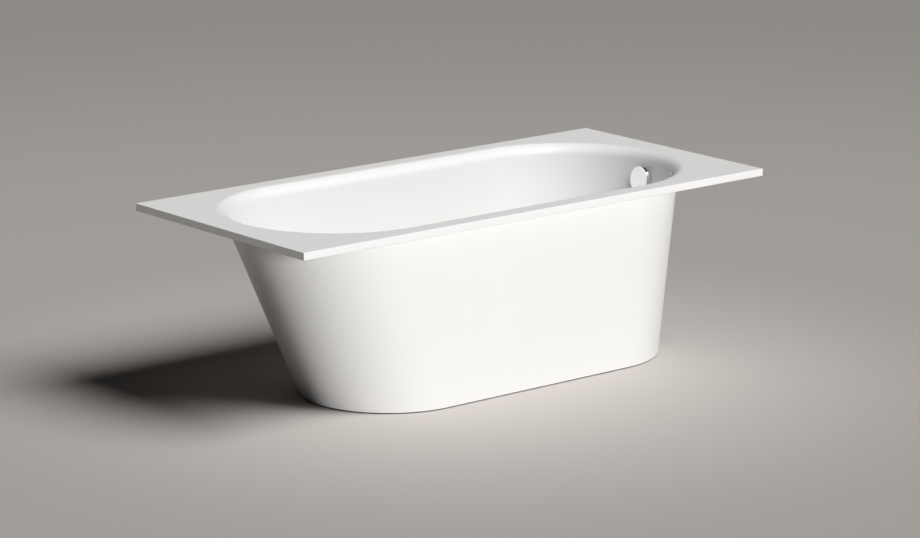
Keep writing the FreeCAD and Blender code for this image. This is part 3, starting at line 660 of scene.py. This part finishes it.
def basinRing(z, grow=0.0, offset=0.0):
    # Ring samples (x, y, outward direction, lean); grow is in plan, offset is square to the leaning wall
    halfWidth, headMiddle, drainMiddle = basinOval(z)
    ends = []
    for middle, slide, start in ((drainMiddle, drainLean - sideLean, -math.pi / 2),
                                 (headMiddle, sideLean - headLean, math.pi / 2)):
        samples = []
        for step in range(tub["endSteps"] + 1):
            turn = start + math.pi * step / tub["endSteps"]
            outX = math.cos(turn)
            outY = math.sin(turn)
            lean = sideLean + slide * outX
            stretch = math.sqrt(1 + lean * lean)
            reach = halfWidth + grow + offset * stretch
            slip = -offset * lean * slide * outY / stretch
            x = middle + reach * outX - slip * outY
            y = reach * outY + slip * outX
            samples.append((x, y, outX, outY, lean))
        ends.append(samples)
    ring = []
    for samples, other in ((ends[0], ends[1]), (ends[1], ends[0])):
        ring.extend(samples)
        for step in range(1, tub["sideSteps"]):
            share = step / tub["sideSteps"]
            ring.append(tuple(a + (b - a) * share for a, b in zip(samples[-1], other[0])))
    return ring


def rollRing(share):
    # The rim's roll, from the flat deck at 0 to the leaning wall at 1
    radius = tub["rimRoll"]
    ring = []
    for x, y, outX, outY, lean in basinRing(rimHeight - radius, offset=radius):
        turn = share * math.atan2(1, lean)
        inward = radius * math.sin(turn)
        ring.append((x - inward * outX, y - inward * outY, rimHeight - radius + radius * math.cos(turn)))
    return ring


def floorRing(share, floorZ, radius, grow):
    # The round between wall and floor, from the wall at 0 to the floor at 1
    ring = []
    for x, y, outX, outY, lean in basinRing(floorZ + radius, grow, -radius):
        turn = (1 - share) * math.atan2(1, lean)
        outward = radius * math.sin(turn)
        ring.append((x + outward * outX, y + outward * outY, floorZ + radius - radius * math.cos(turn)))
    return ring


def ringBetween(first, second, share):
    return [tuple(a + (b - a) * share for a, b in zip(p, q)) for p, q in zip(first, second)]


def deckRing(z):
    # The deck's outline, with a point on each corner
    headMiddle, drainMiddle = basinOval(rimHeight)[1:]
    quarter = tub["endSteps"] // 4
    ring = []
    for middle, end, first in ((drainMiddle, deckHigh.x, deckLow.y), (headMiddle, deckLow.x, deckHigh.y)):
        for step in range(tub["endSteps"] + 1):
            if step <= quarter:
                ring.append((middle + (end - middle) * step / quarter, first, z))
            elif step < 3 * quarter:
                ring.append((end, first - 2 * first * (step - quarter) / (2 * quarter), z))
            else:
                ring.append((end + (middle - end) * (step - 3 * quarter) / quarter, -first, z))
        other = headMiddle + drainMiddle - middle
        for step in range(1, tub["sideSteps"]):
            ring.append((middle + (other - middle) * step / tub["sideSteps"], -first, z))
    return ring


def closingRings(edge, z):
    # Rings that close a flat oval towards its middle line
    half = max(point[1] for point in edge)
    low = min(point[0] for point in edge) + half
    high = max(point[0] for point in edge) - half
    spine = [(min(max(point[0], low), high), 0.0, z) for point in edge]
    return [ringBetween(edge, spine, share) for share in tub["closingShares"]]


def makeTubShell():
    floorZ = tub["floorHeight"]
    underZ = floorZ - tub["floorThickness"]
    underDeck = rimHeight - tub["deckThickness"]
    outerRound = tub["floorRound"] + tub["wall"]
    inner = []
    for step in range(tub["rollSteps"] + 1):
        inner.append(floorRing(1 - step / tub["rollSteps"], floorZ, tub["floorRound"], 0.0))
    wallFoot = inner[-1]
    wallTop = rollRing(1.0)
    for step in range(1, tub["wallSteps"]):
        inner.append(ringBetween(wallFoot, wallTop, step / tub["wallSteps"]))
    for step in range(tub["rollSteps"] + 1):
        inner.append(rollRing(1 - step / tub["rollSteps"]))
    for step in range(1, tub["deckSteps"]):
        inner.append(ringBetween(rollRing(0.0), deckRing(rimHeight), step / tub["deckSteps"]))
    outer = [deckRing(rimHeight), deckRing(underDeck)]
    outerTop = [(x, y, underDeck) for x, y, outX, outY, lean in basinRing(underDeck, tub["wall"])]
    for step in range(1, tub["deckSteps"]):
        outer.append(ringBetween(deckRing(underDeck), outerTop, step / tub["deckSteps"]))
    outerFoot = floorRing(0.0, underZ, outerRound, tub["wall"])
    for step in range(tub["wallSteps"]):
        outer.append(ringBetween(outerTop, outerFoot, step / tub["wallSteps"]))
    for step in range(tub["rollSteps"] + 1):
        outer.append(floorRing(step / tub["rollSteps"], underZ, outerRound, tub["wall"]))
    rings = closingRings(inner[0], floorZ)[::-1] + inner + outer + closingRings(outer[-1], underZ)
    mesh = skinRings("tubShell", rings)

    def sidesOf(point):
        # Whether a point is on the deck's ends, on its long sides, on its top or underside
        onEnd = abs(abs(point.x) - deckHigh.x) < touching
        onSide = abs(abs(point.y) - deckHigh.y) < touching
        onFace = abs(point.z - rimHeight) < touching or abs(point.z - underDeck) < touching
        return onEnd, onSide, onFace

    def onDeckEdge(first, second):
        return sum(a and b for a, b in zip(sidesOf(first), sidesOf(second))) >= 2

    bevelEdges(mesh, onDeckEdge, tub["edgeRound"], tub["edgeSteps"])
    return mesh


# Openings in the shell, and the boss behind the overflow
waste = {
    "recessRadius": 0.036,
    "recessDepth": 0.003,
    "holeRadius": 0.026,
    "cutHeights": (0.12, 0.15),  # below and above the floor
}
overflow = {
    "spotRadius": 0.033,
    "holeRadius": 0.025,
    "cutReach": 0.02,  # to either side of the wall
    "bossRadius": 0.038,
    "bossDepth": 0.0059,
    "bossSink": 0.002,  # keeps the boss behind the wall's face
}
wasteLow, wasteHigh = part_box("waste_flange")
wasteMiddle = (wasteLow + wasteHigh) / 2
overflowPoint = Vector(joints["knob_turn"]["pos_m"])
intoBasin = -Vector(joints["knob_turn"]["axis"]).normalized()


def onWaste(z):
    return Vector((wasteMiddle.x, wasteMiddle.y, z))


def offWall(height):
    return overflowPoint + intoBasin * height


tubMesh = makeTubShell()
boss = roundTool(offWall(-overflow["bossDepth"]), offWall(-overflow["bossSink"]), overflow["bossRadius"])
tubMesh = combine(tubMesh, [boss], "UNION")
cutBack = offWall(-overflow["cutReach"])
cutFront = offWall(overflow["cutReach"])
cutLow, cutHigh = [onWaste(height) for height in waste["cutHeights"]]
recessFloor = onWaste(tub["floorHeight"] - waste["recessDepth"])
tubMesh = combine(tubMesh, [
    roundTool(offWall(0.0), cutFront, overflow["spotRadius"]),
    roundTool(cutBack, cutFront, overflow["holeRadius"]),
    roundTool(recessFloor, cutHigh, waste["recessRadius"]),
    roundTool(cutLow, cutHigh, waste["holeRadius"]),
], "DIFFERENCE")
addPiece("tubShell", tubMesh, "tub", "cast_white", ["tub_shell"])


# Skirt: a leaning oval shell that follows the basin outside
skirt = {
    "topGaps": (0.0044, 0.0034, 0.0054),  # side, head end and drain end, at the deck
    "spreads": (0.0107, 0.0041, 0.0478),  # how much more one spread height below
    "spreadHeight": 0.545,
    "wall": 0.004,
    "edgeRound": 0.0008,
    "edgeSteps": 2,
    "acrossWall": 0.006,  # edges up to this length run across the wall
    "steps": 26,
}
skirtLow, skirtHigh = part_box("outer_skirt")


def skirtRing(z, inset):
    halfWidth, headMiddle, drainMiddle = basinOval(z)
    share = (rimHeight - tub["deckThickness"] - z) / skirt["spreadHeight"]
    side, head, drain = [gap + spread * share for gap, spread in zip(skirt["topGaps"], skirt["spreads"])]
    reach = tub["wall"] + skirt["wall"] + side
    radius = halfWidth + reach - inset
    headMiddle += side - head
    drainMiddle += drain - side
    ring = []
    for middle, other, start in ((drainMiddle, headMiddle, -math.pi / 2),
                                 (headMiddle, drainMiddle, math.pi / 2)):
        for step in range(tub["endSteps"] + 1):
            turn = start + math.pi * step / tub["endSteps"]
            ring.append((middle + radius * math.cos(turn), radius * math.sin(turn), z))
        sideY = ring[-1][1]
        for step in range(1, tub["sideSteps"]):
            ring.append((middle + (other - middle) * step / tub["sideSteps"], sideY, z))
    return ring


def makeSkirt():
    height = skirtHigh.z - skirtLow.z
    levels = [skirtLow.z + height * step / skirt["steps"] for step in range(skirt["steps"] + 1)]
    rings = [skirtRing(z, 0.0) for z in levels]
    rings += [skirtRing(z, skirt["wall"]) for z in reversed(levels)]
    mesh = skinRings("outerSkirt", rings, closed=True)

    def onRim(first, second):
        level = abs(first.z - second.z) < touching
        atEnd = abs(first.z - skirtLow.z) < touching or abs(first.z - skirtHigh.z) < touching
        return level and atEnd and (first - second).to_2d().length > skirt["acrossWall"]

    bevelEdges(mesh, onRim, skirt["edgeRound"], skirt["edgeSteps"])
    return mesh


addPiece("outerSkirt", makeSkirt(), "tub", "cast_white", ["outer_skirt"])
print("shells built")
makeLamps()
print("lamps set")


# Helpers for turned pieces
def roundedOutline(corners, steps=5):
    # Corners are (radius, height, round); the outline is closed
    outline = []
    for index, (x, y, size) in enumerate(corners):
        here = Vector((x, y))
        before = (Vector(corners[index - 1][:2]) - here).normalized()
        after = (Vector(corners[(index + 1) % len(corners)][:2]) - here).normalized()
        if size == 0:
            outline.append((x, y))
            continue
        half = before.angle(after) / 2
        middle = here + (before + after).normalized() * (size / math.sin(half))
        start = here + before * (size / math.tan(half)) - middle
        end = here + after * (size / math.tan(half)) - middle
        for step in range(steps + 1):
            share = step / steps
            arm = (start * (1 - share) + end * share).normalized() * size
            outline.append(tuple(middle + arm))
    return outline


def circleRing(radius, height, segments):
    turns = [2 * math.pi * step / segments for step in range(segments)]
    return [(radius * math.cos(turn), radius * math.sin(turn), height) for turn in turns]


def turned(name, outline, place, axis, segments=128):
    # Spins a closed outline of (radius, height) round an axis
    rings = [circleRing(radius, height, segments) for radius, height in outline]
    mesh = skinRings(name, rings, closed=True)
    mesh.transform(Matrix.Translation(place) @ facing(axis))
    return mesh


# Knob: a hollow disc with a hub, its side tapering a little to the face
knob = {
    "radius": 0.040,
    "back": 0.0045,  # gap to the wall
    "front": 0.0175,
    "face": 0.004,
    "faceRadius": 0.0376,
    "waist": 0.0092,  # height at which the side is widest
    "waistRound": 0.008,
    "rim": 0.003,
    "edgeRound": 0.0006,
    "hollowRound": 0.0012,
    "hubRadius": 0.008,
    "hubLength": 0.0045,
    "hubFootRound": 0.0008,
    "hubEdgeRound": 0.0004,
    "socketRadius": 0.00405,
    "socketRound": 0.0003,
}


def makeKnob():
    look = knob
    hollow = look["front"] - look["face"]
    hubEnd = hollow - look["hubLength"]
    socketEnd = look["front"] - look["face"] / 2
    inside = look["radius"] - look["rim"]
    outline = roundedOutline([
        (0.0, look["front"], 0),
        (look["faceRadius"], look["front"], look["edgeRound"]),
        (look["radius"], look["waist"], look["waistRound"]),
        (look["radius"], look["back"], look["edgeRound"]),
        (inside, look["back"], look["edgeRound"]),
        (inside, hollow, look["hollowRound"]),
        (look["hubRadius"], hollow, look["hubFootRound"]),
        (look["hubRadius"], hubEnd, look["hubEdgeRound"]),
        (look["socketRadius"], hubEnd, look["socketRound"]),
        (look["socketRadius"], socketEnd, 0),
        (0.0, socketEnd, 0),
    ])
    return turned("turningKnob", outline, overflowPoint, intoBasin)


addPiece("turningKnob", makeKnob(), "knob", "chrome_plate", ["overflow_knob"])


# Plug: a low dome on a thin straight edge
plug = {
    "edge": 0.0014,
    "crown": 0.0028,
    "edgeRound": 0.0005,
    "domeSteps": 20,
}


def makePlug():
    low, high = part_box("waste_plug")
    radius = (high.x - low.x) / 2
    shoulder = low.z + plug["edge"]
    dome = (radius ** 2 + plug["crown"] ** 2) / (2 * plug["crown"])
    outline = [(0.0, low.z), (radius - plug["edgeRound"], low.z), (radius, low.z + plug["edgeRound"])]
    outline.append((radius, shoulder - plug["edgeRound"]))
    for step in range(plug["domeSteps"] + 1):
        reach = (radius - plug["edgeRound"]) * (1 - step / plug["domeSteps"])
        outline.append((reach, high.z - dome + math.sqrt(dome ** 2 - reach ** 2)))
    return turned("drainPlug", outline, onWaste(0.0), upright)


addPiece("drainPlug", makePlug(), "plug", "chrome_plate", ["waste_plug"])
print("turned pieces built")


# Drain flange: a rounded rim and tail, with three arms that guide the plug's stem
flange = {
    "boreRadius": 0.021,
    "tailRadius": 0.025,
    "tailLength": 0.020,
    "boreRound": 0.0005,
    "tailRound": 0.0008,
    "seatRound": 0.0003,
    "rimRound": 0.0008,
    "arms": 3,
    "armWidth": 0.004,
    "armHeight": 0.0056,
    "armRise": 0.0004,  # above the guide's lower end
    "armRound": 0.0006,
    "guideRadius": 0.007,
    "guideHeight": 0.008,
    "guideRise": 0.003,  # above the tail's lower end
    "guideBore": 0.00405,
}


def makeFlange():
    look = flange
    tailEnd = wasteLow.z
    top = wasteHigh.z
    seat = tailEnd + look["tailLength"]
    rimRadius = (wasteHigh.y - wasteLow.y) / 2
    mesh = turned("drainFlange", roundedOutline([
        (look["boreRadius"], tailEnd, look["boreRound"]),
        (look["tailRadius"], tailEnd, look["tailRound"]),
        (look["tailRadius"], seat, look["seatRound"]),
        (rimRadius, seat, look["seatRound"]),
        (rimRadius, top, look["rimRound"]),
        (look["boreRadius"], top, look["rimRound"]),
    ]), onWaste(0.0), upright)
    guideLow = tailEnd + look["guideRise"]
    guideTop = guideLow + look["guideHeight"]
    additions = [turned("stemGuide", roundedOutline([
        (look["guideBore"], guideLow, look["armRound"]),
        (look["guideRadius"], guideLow, look["armRound"]),
        (look["guideRadius"], guideTop, look["armRound"]),
        (look["guideBore"], guideTop, look["armRound"]),
    ]), onWaste(0.0), upright)]
    armStart = (look["guideBore"] + look["guideRadius"]) / 2
    armEnd = (look["boreRadius"] + look["tailRadius"]) / 2
    armLow = guideLow + look["armRise"]
    armTop = armLow + look["armHeight"]
    half = look["armWidth"] / 2
    for arm in range(look["arms"]):
        bar = boxTool(Vector((armStart, -half, armLow)), Vector((armEnd, half, armTop)), look["armRound"])
        turn = Matrix.Rotation(2 * math.pi * arm / look["arms"], 4, "Z")
        bar.transform(Matrix.Translation(onWaste(0.0)) @ turn)
        additions.append(bar)
    return combine(mesh, additions, "UNION")


addPiece("drainFlange", makeFlange(), "tub", "chrome_plate", ["waste_flange"])


# Threaded studs, their nuts and the screws
thread = {
    "depth": 0.0009,
    "pitch": 0.00175,
    "perTurn": 6,  # rings in one pitch
    "segments": 24,
    "crest": 0.15,  # shares of half a pitch
    "flank": 0.7,
}
footBodies = {}
for end in ("head", "drain"):
    for side in ("front", "back"):
        footBodies[end + "_" + side] = "foot_" + end + "_" + side


def threadRings(radius, start, end, depth, pitch, segments):
    # Rings up the Z axis; the crest climbs one pitch in each turn and fades at both ends
    count = max(2, round((end - start) / pitch * thread["perTurn"]))
    rings = []
    for level in range(count + 1):
        z = start + (end - start) * level / count
        inset = max(0.0, depth - min(z - start, end - z))
        ring = []
        for step in range(segments):
            phase = (z / pitch - step / segments) % 1.0
            down = (abs(2 * phase - 1) - thread["crest"]) / thread["flank"]
            reach = radius - max(depth * min(max(down, 0.0), 1.0), inset)
            turn = 2 * math.pi * step / segments
            ring.append((reach * math.cos(turn), reach * math.sin(turn), z))
        rings.append(ring)
    return rings


def overStud(node):
    # Moves a shape from the Z axis to a stud's axis
    low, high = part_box(node)
    return Matrix.Translation(((low.x + high.x) / 2, (low.y + high.y) / 2, 0))


def makeStud(node):
    low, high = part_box(node)
    radius = (high.x - low.x) / 2
    rings = threadRings(radius, low.z, high.z, thread["depth"], thread["pitch"], thread["segments"])
    mesh = skinRings("threadedStud", rings)
    mesh.transform(overStud(node))
    return mesh


for corner, body in footBodies.items():
    studNode = "levelling_stud_" + corner
    addPiece("threadedStud_" + corner, makeStud(studNode), body, "zinc_steel", [studNode])


nut = {
    "flats": 0.019,
    "bore": 0.00605,
    "boreChamfer": 0.0007,
    "chamferStart": 0.0092,  # radius of the round end face
    "chamferAngle": 60.0,  # degrees from the nut's axis
    "chamferShares": (0.0, 0.35, 0.7, 1.0),  # where its rings lie
    "segments": 72,
}


def makeNut(start, end):
    # Six flats with the corners turned away at both ends
    look = nut
    half = look["flats"] / 2
    steep = math.tan(math.radians(look["chamferAngle"]))
    chamfer = (half / math.cos(math.pi / 6) - look["chamferStart"]) / steep
    levels = [chamfer * share for share in look["chamferShares"]]
    levels += [end - start - level for level in reversed(levels)]
    rings = []
    for level in levels:
        limit = look["chamferStart"] + min(level, end - start - level) * steep
        ring = []
        for step in range(look["segments"]):
            turn = 2 * math.pi * step / look["segments"]
            reach = min(half / math.cos(turn % (math.pi / 3) - math.pi / 6), limit)
            ring.append((reach * math.cos(turn), reach * math.sin(turn), start + level))
        rings.append(ring)
    edge = look["boreChamfer"]
    for reach, z in ((look["bore"] + edge, end), (look["bore"], end - edge),
                     (look["bore"], start + edge), (look["bore"] + edge, start)):
        rings.append(circleRing(reach, z, look["segments"]))
    return skinRings("nut", rings, closed=True)


def makeNuts(name, node):
    low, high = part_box(node)
    nuts = []
    for corner in footBodies:
        mesh = makeNut(low.z, high.z)
        mesh.transform(overStud("levelling_stud_" + corner))
        nuts.append(mesh)
    return joinMeshes(name, nuts)


addPiece("upperNuts", makeNuts("upperNuts", "upper_stud_nuts"), "tub", "zinc_steel", ["upper_stud_nuts"])
addPiece("lowerNuts", makeNuts("lowerNuts", "lower_stud_nuts"), "tub", "zinc_steel", ["lower_stud_nuts"])


screwHead = {
    "topShare": 0.45,  # of the head's radius
    "topRound": 0.0008,
    "shoulderShare": 0.9,
    "shoulderHeight": 0.55,  # share of the head's height
    "shoulderRound": 0.0006,
    "edgeRound": 0.0003,
    "segments": 64,
    "slotRise": 0.001,  # the slot's cut above the head
    "shankRise": 0.0002,  # the shank's end inside the head
    "shankSegments": 32,
}
railScrew = {
    "headRadius": 0.005,
    "headHeight": 0.003,
    "shankRadius": 0.0025,
    "length": 0.012,
    "pitch": 0.0022,
    "threadDepth": 0.0006,
    "slotLength": 0.0052,
    "slotWidth": 0.0010,
    "slotDepth": 0.0015,
    "rowYs": (-0.12, -0.04, 0.04, 0.12),
}
overflowScrew = {
    "headRadius": 0.004,
    "headHeight": 0.0024,
    "shankRadius": 0.0020,
    "length": 0.011,
    "pitch": 0.0016,
    "threadDepth": 0.0004,
    "slotLength": 0.0044,
    "slotWidth": 0.0009,
    "slotDepth": 0.0013,
    "spread": 0.0196,  # from the knob's axis
    "seat": 0.004,  # above the wall
}


def makeScrew(look):
    # A domed head with a cross slot above the seat at zero, and a threaded shank below it
    height = look["headHeight"]
    radius = look["headRadius"]
    shoulder = radius * screwHead["shoulderShare"]
    shoulderTop = height * screwHead["shoulderHeight"]
    head = turned("screwHead", roundedOutline([
        (0.0, height, 0),
        (radius * screwHead["topShare"], height, screwHead["topRound"]),
        (shoulder, shoulderTop, screwHead["shoulderRound"]),
        (radius, 0.0, screwHead["edgeRound"]),
        (0.0, 0.0, 0),
    ]), Vector(), upright, screwHead["segments"])
    length = look["slotLength"] / 2
    width = look["slotWidth"] / 2
    floor = height - look["slotDepth"]
    top = height + screwHead["slotRise"]
    slots = [
        boxTool(Vector((-length, -width, floor)), Vector((length, width, top))),
        boxTool(Vector((-width, -length, floor)), Vector((width, length, top))),
    ]
    head = combine(head, slots, "DIFFERENCE")
    rings = threadRings(look["shankRadius"], -look["length"], screwHead["shankRise"],
                        look["threadDepth"], look["pitch"], screwHead["shankSegments"])
    return combine(head, [skinRings("screwShank", rings)], "UNION")


def makeRailScrews():
    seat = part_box("rail_screws")[0].z + railScrew["headHeight"]
    screws = []
    for rail in ("cradle_rail_head", "cradle_rail_drain"):
        railLow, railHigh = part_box(rail)
        for y in railScrew["rowYs"]:
            mesh = makeScrew(railScrew)
            place = Matrix.Translation(((railLow.x + railHigh.x) / 2, y, seat))
            mesh.transform(place @ Matrix.Rotation(math.pi, 4, "X"))
            screws.append(mesh)
    return joinMeshes("railScrews", screws)


def makeOverflowScrews():
    screws = []
    for side in (-1, 1):
        mesh = makeScrew(overflowScrew)
        place = offWall(overflowScrew["seat"]) + Vector((0, side * overflowScrew["spread"], 0))
        mesh.transform(Matrix.Translation(place) @ facing(intoBasin))
        screws.append(mesh)
    return joinMeshes("overflowScrews", screws)


addPiece("railScrews", makeRailScrews(), "tub", "zinc_steel", ["rail_screws"])
addPiece("overflowScrews", makeOverflowScrews(), "tub", "stainless", ["overflow_screws"])
print("threads and screws built")


# Carried-over nodes keep their own shapes, with smooth round faces
nodeSharpAngle = 30.0


def smoothNodes():
    for node in nodes.values():
        if node.hide_render:
            continue
        seams = node.modifiers.new("weld", "WELD")
        seams.merge_threshold = touching
        node.data.shade_smooth()
        node.data.set_sharp_from_angle(angle=math.radians(nodeSharpAngle))


smoothNodes()
